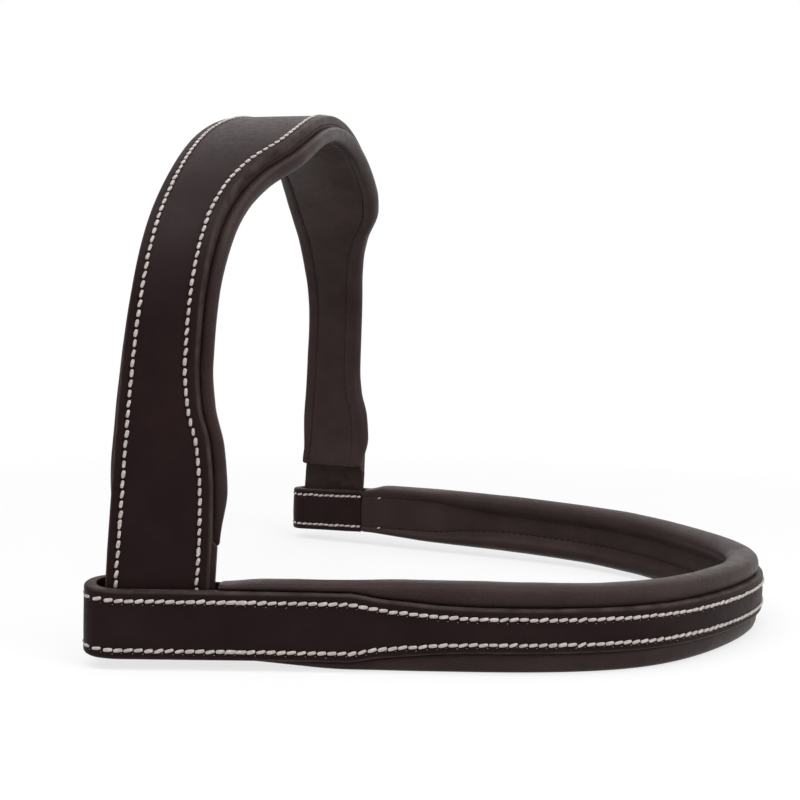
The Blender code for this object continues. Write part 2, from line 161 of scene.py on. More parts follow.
# How the soft leather really lies, close to the CAD's surfaces. The far loop has ridden up its leg a
# little, and so has the fold of the near one. The crown is set a little deeper on the far side. The
# near rolls swell where the strap narrows. The inner ply is pared where the padding takes over, and the
# sewn channels fade out there
BROWBAND_BULGE = 2.0
BULGE_SHARE = 0.85
CROWN_BULGE = 0.7
FAR_LIFT = ((0, 0), (40, 0.3), (70, 0.9), (100, 1.7), (130, 2.6), (160, 3.1), (190, 2.8), (228, 1.4))
NEAR_FOLD_LIFT = 1.7
NEAR_PLY_SETTLED = 0.85
UPPER_SWELL = (
    (-176, 0), (-160, 0.15), (-141, 0.85), (-128, 0.85), (-110, 0.5), (-80, 0.3), (-45, 0.1), (0, 0),
)
LOWER_SWELL = ((-170, 0), (-135, 0.5), (-85, 0.5), (-50, 0.2), (-20, 0))
PLY_PARING = 8.0
PLY_PARED = 1.9
PLY_SINK = 0.8
PLY_MEETING_GAP = 0.04
FAR_END_PROUD = 0.35
FAR_END_RISE = 9.0
FAR_FOOT_SHORT = 2.2
FAR_HUMP_DROP = 4.0
FAR_HUMP_FROM_POLL = 40.0
FAR_HUMP_FROM_END = 60.0
# How far the crown padding stops short of the solid's: near side front, near side rear, far side
CROWN_END_SHORT = (0.3, 1.9, 3.3)
CROWN_END_PULL = 18.0
SEEN_BASE_PROUD = 1.2
SEEN_REAR_PROUD = 1.9
REAR_ROLL_RISE = 25.0
POLL_DEPTH_LESS = 0.8
SEEN_CHANNEL = 5.1
FADED_CHANNEL = 7.55
FADED_BAND = 7.75
CHANNEL_FADE = 62.0
CROWN_SEEN_CHANNEL = 3.55
CROWN_FADED_CHANNEL = 4.2
CROWN_FADE = 45.0

# Finish. A noise's scale is the number of its blotches in a metre
MOTTLE_SCALE = 70
WEAR_SCALE = 240
DYE_SCALE = 900
TWIST_SCALE = 3500
FLOOR_SCALE = 4
GRAIN_HEIGHT = 0.00012
TWIST_HEIGHT = 0.0001

# Camera, as worked out from the rows of stitches
CAMERA_AT = (35.8, -336.7, 83.6)
CAMERA_YAW = -10.65
CAMERA_PITCH = 2.73
CAMERA_ROLL = 1.44
LENS = 45.0
SENSOR = 36.0

# Stage. The floor starts to whiten at one distance from the middle and is white at the other
FLOOR_HALF_SIDE = 6.0
FLOOR_DROP = 0.0002
WHITENS_FROM = 0.13
WHITE_FROM = 0.5
AMBIENT = 0.115
OVERHEAD_WATTS = 13.0
STRIP_WATTS = 3.5
KEY_WATTS = 1.6
SIDE_WATTS = 2.2
FLOOR_GLOW = 0.75

# Worked out from the sizes above
LEG_THICKNESS = CROWN_FACE_THICKNESS + GAP + CROWN_BASE_THICKNESS
LOOP_SPACE = LEG_THICKNESS + 2 * SIDE_PLAY
FOLD_RADIUS = (LOOP_SPACE + BROWBAND_THICKNESS) / 2
FOLD_AT = BROWBAND_HALF_LENGTH - FOLD_RADIUS - BROWBAND_THICKNESS / 2
CORNER_REACH = math.sqrt((LOOP_SPACE / 2) ** 2 - (LEG_THICKNESS / 2) ** 2)
LEG_AT = FOLD_AT + CORNER_REACH - REAR_PLAY - LEG_REAR
LEG_INSET = BROWBAND_THICKNESS + SIDE_PLAY + CROWN_FACE_THICKNESS
INNER_PLY_END = LEG_AT - LEG_FRONT - BASE_STRAP_PROUD - FRONT_PLAY
PAD_END = INNER_PLY_END - PLY_MEETING_GAP
PLY_LENGTH = FOLD_AT - INNER_PLY_END
FOLD_LENGTH = math.pi * FOLD_RADIUS
STRAP_END = FOLD_AT + FOLD_LENGTH + PLY_LENGTH
ROW_HEIGHT = LOOP_STRAP_HEIGHT / 2 + LOWER_ROLL_PROUD
STRAIGHT_LEG = ROW_HEIGHT + LOOP_STRAP_HEIGHT / 2 + PAD_ABOVE_LOOP - FOOT_HEIGHT


def through(stations, at):
    """A smooth curve through (place, value) pairs that never swings past them."""
    x, y = np.array(stations, float).T
    step = np.diff(x)
    slope = np.diff(y) / step
    tangent = np.zeros(len(x))
    tangent[0], tangent[-1] = slope[0], slope[-1]
    same_way = slope[:-1] * slope[1:] > 0
    weight_a = 2 * step[1:] + step[:-1]
    weight_b = step[1:] + 2 * step[:-1]
    safe_a = np.where(same_way, slope[:-1], 1)
    safe_b = np.where(same_way, slope[1:], 1)
    mean = (weight_a + weight_b) / (weight_a / safe_a + weight_b / safe_b)
    tangent[1:-1] = np.where(same_way, mean, 0)
    at = np.clip(at, x[0], x[-1])
    i = np.clip(np.searchsorted(x, at) - 1, 0, len(step) - 1)
    t = (at - x[i]) / step[i]
    start = (1 + 2 * t) * (1 - t) ** 2 * y[i] + t * (1 - t) ** 2 * step[i] * tangent[i]
    end = t * t * (3 - 2 * t) * y[i + 1] + t * t * (t - 1) * step[i] * tangent[i + 1]
    return start + end


def eased(t):
    """0 up to 0, 1 from 1 on, and a soft step between."""
    t = np.clip(t, 0, 1)
    return t * t * (3 - 2 * t)


def summed(values, places):
    """The running area under values, from nothing at the first place."""
    areas = (values[1:] + values[:-1]) / 2 * np.diff(places)
    return np.concatenate([[0], np.cumsum(areas)])


def bump(x, width):
    """1 at 0, falling to nothing past about twice the width."""
    return np.exp(-((x / width) ** 2))


# Browband plan curve, from the middle of the forehead to one end
PLAN_S = np.linspace(0, BROWBAND_HALF_LENGTH, 1824)
PLAN_TURN = np.interp(PLAN_S, *np.array(PLAN_BENDS, float).T)
PLAN_HEADING = np.radians(summed(PLAN_TURN / 10, PLAN_S))
PLAN_BACK = summed(np.sin(PLAN_HEADING), PLAN_S)
PLAN_OUT = summed(np.cos(PLAN_HEADING), PLAN_S)


def plan_at(s):
    """How far back the plan curve is at distance s from its middle, how far out, and its heading."""
    return (np.interp(s, PLAN_S, line) for line in (PLAN_BACK, PLAN_OUT, PLAN_HEADING))


END_BACK, _, END_HEADING = plan_at(FOLD_AT)
FRONT_X = (END_BACK + (FOLD_RADIUS + BROWBAND_THICKNESS / 2) * (math.cos(END_HEADING) + 1)) / 2


def on_browband(s, depth, height):
    """Points at distance s from the middle, depth behind the strap's outer face and height above the
    middle of the stitching. s is positive on the far side and negative on the near side."""
    s, depth, height = np.broadcast_arrays(s, depth, height)
    back, aside, heading = plan_at(np.abs(s))
    x = FRONT_X - back - depth * np.cos(heading)
    y = aside - depth * np.sin(heading)
    z = ROW_HEIGHT + height + through(FAR_LIFT, s)
    return np.stack([x, np.where(s < 0, -y, y), z], -1)


def half_height(s):
    """Half the strap's height at distance s from the middle of the browband."""
    share = through(NARROWING, BROWBAND_HALF_LENGTH - WIDE_END_LENGTH - np.abs(s))
    return (MIDDLE_STRAP_HEIGHT + (LOOP_STRAP_HEIGHT - MIDDLE_STRAP_HEIGHT) * share) / 2


def pad_height(s, proud, end_proud, rise):
    """How far the padding reaches from the middle of the stitching. It grows from its end, where it
    starts lower on the far side."""
    from_end = PAD_END - np.abs(s)
    full = end_proud + (proud - end_proud) * eased(from_end / rise)
    far = FAR_END_PROUD + (full - FAR_END_PROUD) * eased(from_end / FAR_END_RISE)
    return LOOP_STRAP_HEIGHT / 2 + np.where(s > 0, np.minimum(far, full), full)


# Crown centre line, from the foot over the arch to the poll
LEG_BACK, LEG_OUT, LEG_HEADING = plan_at(LEG_AT)
LEG_X = FRONT_X - LEG_BACK - LEG_INSET * math.cos(LEG_HEADING)
LEG_Y = LEG_OUT - LEG_INSET * math.sin(LEG_HEADING)
LEG_TOE = math.pi / 2 - LEG_HEADING
ARCH_SHARE = np.linspace(0, 1, 1201)
ARCH_ANGLE = np.radians(through(ARCH_LEAN, ARCH_SHARE))
ARCH_LENGTH = LEG_Y / summed(np.sin(ARCH_ANGLE), ARCH_SHARE)[-1]
ARCH_IN = summed(np.sin(ARCH_ANGLE), ARCH_SHARE) * ARCH_LENGTH
ARCH_UP = summed(np.cos(ARCH_ANGLE), ARCH_SHARE) * ARCH_LENGTH
FORWARD_SLOPE = math.tan(math.radians(LEG_LEAN))
CROWN_HALF_LENGTH = STRAIGHT_LEG + ARCH_LENGTH


def arch_share(c):
    """Share of the arch at distance c from the poll, which is negative on the near side."""
    return np.clip((CROWN_HALF_LENGTH - np.abs(c) - STRAIGHT_LEG) / ARCH_LENGTH, 0, 1)


def on_crown(c, across, out):
    """Points at distance c from the poll, across to the front of the centre line, and out from the
    seam between the two straps."""
    c, across, out = np.broadcast_arrays(c, across, out)
    share = arch_share(c)
    angle = np.interp(share, ARCH_SHARE, ARCH_ANGLE)
    leg = np.minimum(CROWN_HALF_LENGTH - np.abs(c), STRAIGHT_LEG)
    centre = np.stack([
        LEG_X + FORWARD_SLOPE * (leg + ARCH_LENGTH * (share - share ** 2 / 2)),
        LEG_Y - np.interp(share, ARCH_SHARE, ARCH_IN),
        FOOT_HEIGHT + leg + np.interp(share, ARCH_SHARE, ARCH_UP),
    ], -1)
    toe = LEG_TOE * (1 - eased(share / TOE_SHARE))
    width = np.stack([np.cos(toe), -np.sin(toe), 0 * toe], -1)
    along = np.stack([FORWARD_SLOPE * (1 - share), -np.sin(angle), np.cos(angle)], -1)
    outward = np.cross(along, width)
    outward /= np.linalg.norm(outward, axis=-1, keepdims=True)
    point = centre + across[..., None] * width + out[..., None] * outward
    point[..., 1] *= np.where(c < 0, -1, 1)
    return point


def on_crown_face(c, across, out):
    """The same, with out counted from the crown's outer face."""
    return on_crown(c, across, CROWN_FACE_THICKNESS + out)


def front_edge(c):
    """How far in front of the centre line the crown's edge is. Its far hump is a little lower."""
    upper, lower = eased(c / FAR_HUMP_FROM_POLL), eased(from_pad_end(c) / FAR_HUMP_FROM_END)
    dropped = FAR_HUMP_DROP * upper * lower * (c > 0)
    return through(FRONT_EDGE, arch_share(c - dropped))


def rear_edge(c):
    """The crown's rear edge, which lies at minus distances."""
    return -through(REAR_EDGE, arch_share(c))


def from_pad_end(c):
    """Distance from the padding's end on the crown, towards the poll."""
    return CROWN_HALF_LENGTH - STRAIGHT_LEG - np.abs(c)


def base_thickness(c):
    """The base strap is pared down from the padding's end on."""
    pared = eased(from_pad_end(c) / PARING_LENGTH)
    return CROWN_BASE_THICKNESS + (PARED_THICKNESS - CROWN_BASE_THICKNESS) * pared


def front_roll_proud(c):
    """What the crown's front roll stands past the strap: it grows from its end, and is lower again over
    the upper half of the arch."""
    risen = eased(from_pad_end(c) / FRONT_ROLL_RISE)
    near_poll = eased(2 * arch_share(c) - 1)
    proud = END_ROLL_PROUD + (FRONT_ROLL_PROUD - END_ROLL_PROUD) * risen
    return proud + (POLL_ROLL_PROUD - FRONT_ROLL_PROUD) * near_poll


def ply_pared(w):
    """0 along the strap, growing to 1 at the pared ends of the inner plies."""
    return eased((np.abs(w) - STRAP_END + PLY_PARING) / PLY_PARING)


def strap_path(w):
    """The browband strap's middle line at distance w along it, round the fold and back along the
    inner ply, with the way that its outer face looks and where on the browband it is."""
    side = np.where(w < 0, -1, 1)
    w = np.abs(w)
    turn = np.clip((w - FOLD_AT) / FOLD_LENGTH, 0, 1) * math.pi
    back = np.maximum(w - FOLD_AT - FOLD_LENGTH, 0)
    s = np.minimum(w, FOLD_AT) + FOLD_RADIUS * np.sin(turn) - back
    depth = BROWBAND_THICKNESS / 2 + FOLD_RADIUS * (1 - np.cos(turn))
    heading = np.interp(s, PLAN_S, PLAN_HEADING)
    outward = np.stack([np.cos(heading + turn), side * np.sin(heading + turn), 0 * turn], -1)
    risen = eased((w - FOLD_AT + FOLD_RADIUS) / (FOLD_LENGTH + FOLD_RADIUS))
    lift = NEAR_FOLD_LIFT * risen * (1 - NEAR_PLY_SETTLED * back / PLY_LENGTH) * (side < 0)
    return on_browband(side * s, depth, lift), outward, s


def on_strap(w, across, out):
    """Points on the browband strap: across is up, out is out from its outer face."""
    w, across, out = np.broadcast_arrays(w, across, out)
    middle, outward, _ = strap_path(w)
    point = middle + (BROWBAND_THICKNESS / 2 + out - PLY_SINK * ply_pared(w))[..., None] * outward
    point[..., 2] += across
    return point


def fine_stations(end, last=()):
    """Places from end to end, fine enough to shape the needle holes. The last ones are extra distances
    from the ends."""
    step = STITCH_PITCH / STATIONS_PER_STITCH
    stop = end - max(last, default=0) - step / 2
    half = np.concatenate([np.arange(0, stop, step), end - np.array(last), [end]])
    return np.concatenate([-half[:0:-1], half])


def crown_strap_stations():
    """The crown straps' places. The far leg's foot ends a little higher, out of sight in its loop."""
    c = fine_stations(CROWN_HALF_LENGTH)
    return c[c < CROWN_HALF_LENGTH - FAR_FOOT_SHORT]


def at_hole(places):
    """1 at the needle holes, which lie midway between the stitches' middles."""
    return bump(np.abs(places / STITCH_PITCH % 1 - 0.5) * STITCH_PITCH, HOLE_LENGTH)


def unevenness(places, seed):
    """Slow waves along a hand-made piece, about 1 high at most."""
    random = np.random.default_rng(seed)
    wave = np.zeros_like(places)
    for length in WAVES:
        phase = random.uniform(0, PHASE_RANGE)
        wave += np.sin(places / length * 2 * math.pi + phase) * length / WAVES[0]
    return wave / 2


def seam(row):
    """Places along the crown, and the length of a row of stitches there, counted from the poll."""
    c = np.linspace(-CROWN_HALF_LENGTH, CROWN_HALF_LENGTH, 4001)
    steps = np.linalg.norm(np.diff(on_crown(c, row(c), CROWN_FACE_THICKNESS), axis=0), axis=1)
    length = np.concatenate([[0], np.cumsum(steps)])
    return c, length - length[len(c) // 2]


def front_row(c):
    return front_edge(c) - CROWN_STITCH_MARGIN


def rear_row(c):
    return rear_edge(c) + CROWN_STITCH_MARGIN


def strap_section(low, high, thickness, margin, rounding, places, seed, sewn):
    """Rings of (across, out) points round a sewn strap, and each point's edge and hole shade. sewn
    gives the lengths along the low and the high row of stitches."""
    arc = np.radians((0, 22.5, 45, 67.5, 90))
    beside_row = (-1.4, -ROW_REACH, -HOLE_BELOW, -0.4, 0, 0.4, ROW_REACH)
    beside_row_under = (-ROW_REACH, -HOLE_WIDTH_UNDER, 0, HOLE_WIDTH_UNDER, ROW_REACH)
    across, out, edge, hole = [], [], [], []
    blank = np.zeros_like(places)
    low_holes, high_holes = at_hole(sewn[0]), at_hole(sewn[1])

    def add(a, o, edge_wear_and_highlight=0.0, hole_painted_shade=0.0):
        across.append(a + blank)
        out.append(o + blank)
        edge.append(edge_wear_and_highlight + blank)
        hole.append(hole_painted_shade + blank)

    def corner(side, sign, top):
        angles = arc if top == (sign < 0) else arc[::-1]
        radius = rounding if top else UNDER_ROUNDING * rounding
        for a in angles:
            rise = radius * (1 - math.sin(a))
            inward = sign * radius * (1 - math.cos(a))
            # Edge shade is 1 at the strap's side and fades over the rounding. It pales the edge, partly
            # as wear and partly as a painted highlight
            add(side - inward, -rise if top else rise - thickness, math.cos(a))

    def row(at, holes):
        for x in beside_row:
            # Painted shade darkens the needle hole's dip just below the row
            below = bump(x + HOLE_BELOW, HOLE_WIDTH) * holes
            dip = GROOVE_DEPTH * bump(x, GROOVE_WIDTH) + HOLE_DEPTH * below
            add(at + x, -dip, 0, below)

    belly = STRAP_BELLY * (1 + unevenness(places, seed))
    corner(low, -1, True)
    row(low + margin, low_holes)
    inner_low, inner_high = low + margin + ROW_REACH, high - margin - ROW_REACH
    for share in (0.12, 0.3, 0.5, 0.7, 0.88):
        add(inner_low + (inner_high - inner_low) * share, belly * math.sin(math.pi * share))
    row(high - margin, high_holes)
    corner(high, 1, True)
    corner(high, 1, False)
    for at, holes in ((high - margin, high_holes), (low + margin, low_holes)):
        # Painted shade also darkens the needle holes on the underside
        for x in beside_row_under:
            inside = bump(x, HOLE_WIDTH_UNDER)
            dip = HOLE_DEPTH * inside * holes
            add(at - x, dip - thickness, 0, inside * holes)
    corner(low, -1, False)
    return (np.stack(v, 1) for v in (across, out, edge, hole))


def new_mesh(name, points, faces, material):
    """A smoothly shaded piece from points in millimetres."""
    mesh = bpy.data.meshes.new(name)
    mesh.from_pydata((points * MM).tolist(), [], faces)
    mesh.update()
    mesh.shade_smooth()
    mesh.materials.append(material)
    piece = bpy.data.objects.new(name, mesh)
    bpy.context.scene.collection.objects.link(piece)
    return piece


def shade_with(piece, edge, hole):
    """Keeps each point's edge and hole shade for the leather's material."""
    shade = piece.data.color_attributes.new("shade", "FLOAT_COLOR", "POINT")
    values = np.zeros((len(piece.data.vertices), 4), np.float32)
    values[:, 0] = edge.ravel()
    values[:, 1] = hole.ravel()
    values[:, 3] = 1
    shade.data.foreach_set("color", values.ravel())


def loft(name, rings, edge, hole, material):
    """A closed body swept through rings of points."""
    stations, count = rings.shape[:2]
    here = np.arange(count)
    beside = (here + 1) % count
    faces = []
    for i in range(stations - 1):
        a, b = i * count, (i + 1) * count
        quads = np.stack([a + here, a + beside, b + beside, b + here], 1)
        faces += quads.tolist()
    faces.append(here[::-1].tolist())
    faces.append((here + (stations - 1) * count).tolist())
    piece = new_mesh(name, rings.reshape(-1, 3), faces, material)
    shade_with(piece, edge, hole)
    return piece


def outward_faces(piece):
    """Turns a closed body's faces to look out, going by its signed volume."""
    mesh = piece.data
    mesh.calc_loop_triangles()
    points = np.zeros(len(mesh.vertices) * 3)
    mesh.vertices.foreach_get("co", points)
    points = points.reshape(-1, 3)
    corners = np.zeros(len(mesh.loop_triangles) * 3, int)
    mesh.loop_triangles.foreach_get("vertices", corners)
    a, b, c = points[corners.reshape(-1, 3)].transpose(1, 0, 2)
    if np.einsum("ij,ij->", a, np.cross(b, c)) < 0:
        mesh.flip_normals()


def strap_piece(name, place, places, low, high, thickness, margin, rounding, seed, sewn, material):
    """A sewn strap. place turns distances along it, places across and heights over it into points."""
    across, out, edge, hole = strap_section(low, high, thickness, margin, rounding, places, seed, sewn)
    piece = loft(name, place(places[:, None], across, out), edge, hole, material)
    outward_faces(piece)
    return piece


def rounded_ring(points):
    """A smooth closed line through rows of control points, as (stations, count, 2)."""
    before = np.roll(points, 1, axis=1)
    after = np.roll(points, -1, axis=1)
    beyond = np.roll(points, -2, axis=1)
    made = []
    for k in range(RING_STEPS):
        t = k / RING_STEPS
        a = 2 * points
        b = (after - before) * t
        c = (2 * before - 5 * points + 4 * after - beyond) * t ** 2
        d = (-before + 3 * points - 3 * after + beyond) * t ** 3
        made.append((a + b + c + d) / 2)
    return np.stack(made, 2).reshape(points.shape[0], -1, points.shape[2])


def roll_outline(row, edge, top, depth, channel, bulge):
    """Half of a padding's outline as (height, depth) control points, from its turned-in lip up beside
    the strap, round the roll and into the sewn channel."""
    proud = top - edge
    height = top - row
    zero = 0 * row
    return [
        (row - LIP, zero),
        (edge - 0.7, zero),
        (edge + 0.01, -0.05 * bulge),
        (edge + 0.04, -0.45 * bulge),
        (edge + 0.08 + 0.08 * proud, -0.84 * bulge),
        (edge + 0.1 + 0.4 * proud, -1.03 * bulge),
        (edge + 0.78 * proud, -0.78 * bulge),
        (edge + 0.96 * proud, -0.2 * bulge + 0.04 * depth),
        (top, 0.3 * depth),
        (top - 0.06 * height, 0.6 * depth),
        (top - 0.2 * height, 0.87 * depth),
        (top - 0.4 * height, depth),
        (row + 0.4 * height, channel + 0.93 * (depth - channel)),
        (row + 0.24 * height, channel + 0.6 * (depth - channel)),
        (row + 0.1 * height, channel + 0.2 * (depth - channel)),
        (row, channel - 0.05),
        (row - 0.5, channel + 0.06),
    ]


def side_outline(row, edge, side, channel):
    """Half of the crown padding's outline at its rear edge, which is a low, soft roll."""
    proud = side - edge
    zero = 0 * row
    return [
        (row - LIP, zero),
        (edge - 0.5, zero),
        (edge + 0.02 + 0.3 * proud, 0.03 * SIDE_DEPTH + zero),
        (side - 0.12 * proud - 0.05, 0.2 * SIDE_DEPTH + zero),
        (side, 0.48 * SIDE_DEPTH + zero),
        (side - 0.12 * proud - 0.1, 0.76 * SIDE_DEPTH + zero),
        (side - 0.4 * proud - 0.7, 0.96 * SIDE_DEPTH + zero),
        (row + 1.1, SIDE_DEPTH + 0.02 + zero),
        (row + 0.4, channel + 0.2 + zero),
        (row, channel - 0.05 + zero),
        (row - 0.4, channel + 0.08 + zero),
    ]


def puckered(section, row_points, places, seed):
    """Pulls the sewn channels in at the needle holes and makes the rolls swell a little unevenly. The
    first millimetre, which lies against the strap, stays as it is."""
    holes = at_hole(places)
    hole = np.zeros(section.shape[:2])
    for i in row_points:
        # The needle holes in the channels get painted shade, and the points beside them a lighter share
        # of it
        section[:, i, 1] -= PUCKER * holes
        hole[:, i] = holes
        for j in (i - 1, i + 1):
            section[:, j, 1] -= PUCKER / 2 * holes
            hole[:, j] = BESIDE_HOLE_SHADE * holes
    centre = section.mean(axis=1, keepdims=True)
    swell = 1 + ROLL_SWELL * unevenness(places, seed)[:, None, None]
    back = section[..., 1:] > 1.0
    return np.where(back, centre + (section - centre) * swell, section), hole


def drawn_in_end(section, places, smallest):
    """Rounds the last millimetre or so of a padding in towards its middle."""
    left = np.clip((places.max() - np.abs(places)) / ENDING[0], 0, 1)
    shrink = smallest + (1 - smallest) * np.sqrt(1 - (1 - left) ** 2)
    centre = section.mean(axis=1, keepdims=True)
    return centre + (section - centre) * shrink[:, None, None]


def outline_of(parts):
    """Control points as an array of (stations, points, 2)."""
    return np.stack([np.stack(np.broadcast_arrays(*p), -1) for p in parts], 1)


def flipped(parts):
    """The same half of an outline on the other side, in the order that closes the ring."""
    return [(-height, depth) for height, depth in parts[::-1]]


def row_places(first, band):
    """Which points of a padding's ring lie in its two sewn channels."""
    return RING_STEPS * (len(first) - 2), RING_STEPS * (len(first) + len(band) + 1)


def browband_padding(material):
    s = fine_stations(PAD_END, ENDING)
    edge = half_height(s)
    row = edge - STITCH_MARGIN
    above = pad_height(s, UPPER_ROLL_PROUD, UPPER_END_PROUD, UPPER_ROLL_RISE) + through(UPPER_SWELL, s)
    below = pad_height(s, LOWER_ROLL_PROUD, LOWER_END_PROUD, LOWER_ROLL_RISE) + through(LOWER_SWELL, s)
    sewn = eased((PAD_END - np.abs(s)) / CHANNEL_FADE)
    channel = FADED_CHANNEL + (SEEN_CHANNEL - FADED_CHANNEL) * sewn
    band_depth = FADED_BAND + (BAND_DEPTH - FADED_BAND) * sewn
    rolls = []
    for top in (above, below):
        bulge = np.minimum(BROWBAND_BULGE, BULGE_SHARE * (top - edge))
        rolls.append(roll_outline(row, edge, top, PAD_DEPTH + 0 * s, channel, bulge))
    upper, lower = rolls
    band = [(row * x, band_depth + BAND_CROWN * math.cos(x * 3.1)) for x in (0.55, 0, -0.55)]
    section = rounded_ring(outline_of(upper + band + flipped(lower)))
    section, hole = puckered(section, row_places(upper, band), s, seed=3)
    section = drawn_in_end(section, s, smallest=0.95)
    behind = BROWBAND_THICKNESS + GAP
    points = on_browband(s[:, None], behind + section[..., 1], section[..., 0])
    points[..., 2] = np.maximum(points[..., 2], 0)
    piece = loft("browband_padding", points, 0 * hole, hole, material)
    outward_faces(piece)
    return piece


def crown_padding(material):
    c = fine_stations(CROWN_HALF_LENGTH - STRAIGHT_LEG, ENDING)
    front, rear = front_edge(c), rear_edge(c)
    row_in_front, row_behind = front_row(c), rear_row(c)
    bulge = CROWN_BULGE * eased(from_pad_end(c) / FRONT_ROLL_RISE)
    sewn = eased(from_pad_end(c) / CROWN_FADE)
    channel = CROWN_FADED_CHANNEL + (CROWN_SEEN_CHANNEL - CROWN_FADED_CHANNEL) * sewn
    band_depth = CROWN_FADED_CHANNEL + 0.1 + (CROWN_BAND_DEPTH - CROWN_FADED_CHANNEL - 0.1) * sewn
    depth = CROWN_PAD_DEPTH - POLL_DEPTH_LESS * eased(3 * arch_share(c) - 2)
    roll = roll_outline(row_in_front, front, front + front_roll_proud(c), depth, channel, bulge)
    # The rear roll fades out towards the poll
    faded = eased(2.6 * arch_share(c) - 1.5)
    rear_proud = SEEN_REAR_PROUD * eased(from_pad_end(c) / REAR_ROLL_RISE) * (1 - faded)
    rear_side = -rear + np.maximum(rear_proud, REAR_SIDE_PROUD)
    side = side_outline(-row_behind, -rear, rear_side, np.minimum(channel, SIDE_DEPTH - 0.25))
    band = [(row_behind + (row_in_front - row_behind) * x, band_depth) for x in (0.75, 0.5, 0.25)]
    section = rounded_ring(outline_of(roll + band + flipped(side)))
    section, hole = puckered(section, row_places(roll, band), c, seed=5)
    section = drawn_in_end(section, c, smallest=0.9)
    behind = 2 * GAP + base_thickness(c)[:, None]
    # The padding stops short of where its loop has ridden up, at the rear and on the far side
    to_rear = eased((front[:, None] - section[..., 0]) / (front - rear)[:, None])
    near_front, near_rear, far = CROWN_END_SHORT
    short = np.where(c[:, None] > 0, far, near_front + (near_rear - near_front) * to_rear)
    pulled = short * (1 - eased(from_pad_end(c) / CROWN_END_PULL))[:, None] * np.sign(c)[:, None]
    points = on_crown(c[:, None] - pulled, section[..., 0], -behind - section[..., 1])
    piece = loft("crown_padding", points, 0 * hole, hole, material)
    outward_faces(piece)
    return piece


def stitch_shape():
    """A short plump length of thread along X, 1 long and with a radius of about 1, and its faces."""
    around = 8
    half = ((0.28, 1.0), (0.44, 0.8), (0.5, 0.35))
    rings = [(-x, radius) for x, radius in half[::-1]] + [(0.0, 1.06), *half]
    points, faces = [], []
    for x, radius in rings:
        for k in range(around):
            a = 2 * math.pi * k / around
            points.append((x, radius * math.cos(a), radius * math.sin(a)))
    for i in range(len(rings) - 1):
        for k in range(around):
            n = (k + 1) % around
            faces.append((i * around + k, i * around + n, (i + 1) * around + n, (i + 1) * around + k))
    faces.append(tuple(range(around))[::-1])
    faces.append(tuple(range((len(rings) - 1) * around, len(rings) * around)))
    return np.array(points), faces


STITCH_POINTS, STITCH_FACES = stitch_shape()


class Sewing:
    """Gathers the stitches of one body into one mesh."""

    def __init__(self, seed):
        self.random = np.random.default_rng(seed)
        self.points = []
        self.faces = []

    def stitch(self, middle, along, out, slant, length, radius):
        aside = np.cross(out, along)
        lean = math.radians(slant + self.random.normal(0, LEAN_SPREAD))
        direction = along * math.cos(lean) + aside * math.sin(lean)
        across = np.cross(out, direction)
        wide = radius * self.random.uniform(*WIDTH_RANGE)
        size = length * self.random.uniform(*LENGTH_RANGE)
        place = middle + aside * self.random.normal(0, ASIDE_SPREAD)
        shape = STITCH_POINTS
        made = (
            place + shape[:, :1] * direction * size
            + shape[:, 1:2] * across * wide + shape[:, 2:] * out * wide * THREAD_FLATNESS
        )
        first = len(self.points) * len(shape)
        self.points.append(made)
        self.faces += [tuple(first + i for i in face) for face in STITCH_FACES]

    def run(self, place, row, lift, places, slant, length, tacks, specks=False):
        """A row of stitches on both sides of the middle. place takes a distance, a place across the
        strap and a height over it. Where specks is true, each needle hole shows a bit of thread."""

        def at(w, height):
            return place(w, row(w), height)

        half = STITCH_PITCH / 2
        starts, ends = at(places - half, lift), at(places + half, lift)
        outs = unit(at(places, lift + 1) - at(places, lift))
        alongs = unit(ends - starts)
        for w, start, end, along, out in zip(places, starts, ends, alongs, outs):
            middle = (start + end) / 2
            if specks:
                below = np.array([0, 0, -SPECK_BELOW + self.random.normal(0, SPECK_SPREAD)])
                speck = middle + along * self.random.uniform(*SPECK_ALONG) + below - out * SPECK_SINK
                self.stitch(speck, along, out, SPECK_SLANT, SPECK_LENGTH, SPECK_RADIUS)
            if min(abs(abs(w) - tack) for tack in tacks) > half:
                self.stitch(middle, along, out, slant, length, THREAD_RADIUS)
                continue
            thick, thin = TACK_BASE_THICKER * THREAD_RADIUS, TACK_THINNER * THREAD_RADIUS
            self.stitch(middle, along, out, TACK_BASE_SLANT * slant, length, thick)
            for share, lean in TACK_THREADS:
                over = middle + along * share * length + out * TACK_LIFT
                self.stitch(over, along, out, lean * slant, TACK_SHORTER * length, thin)

    def piece(self, name, material):
        made = new_mesh(name, np.concatenate(self.points), self.faces, material)
        outward_faces(made)
        return made


def unit(vectors):
    return vectors / np.linalg.norm(vectors, axis=-1, keepdims=True)


def stitch_places(end):
    """Middles of the stitches, from one end to the other, with one on the middle."""
    count = int((end - STITCH_PITCH / 2) / STITCH_PITCH)
    return np.arange(-count, count + 1) * STITCH_PITCH


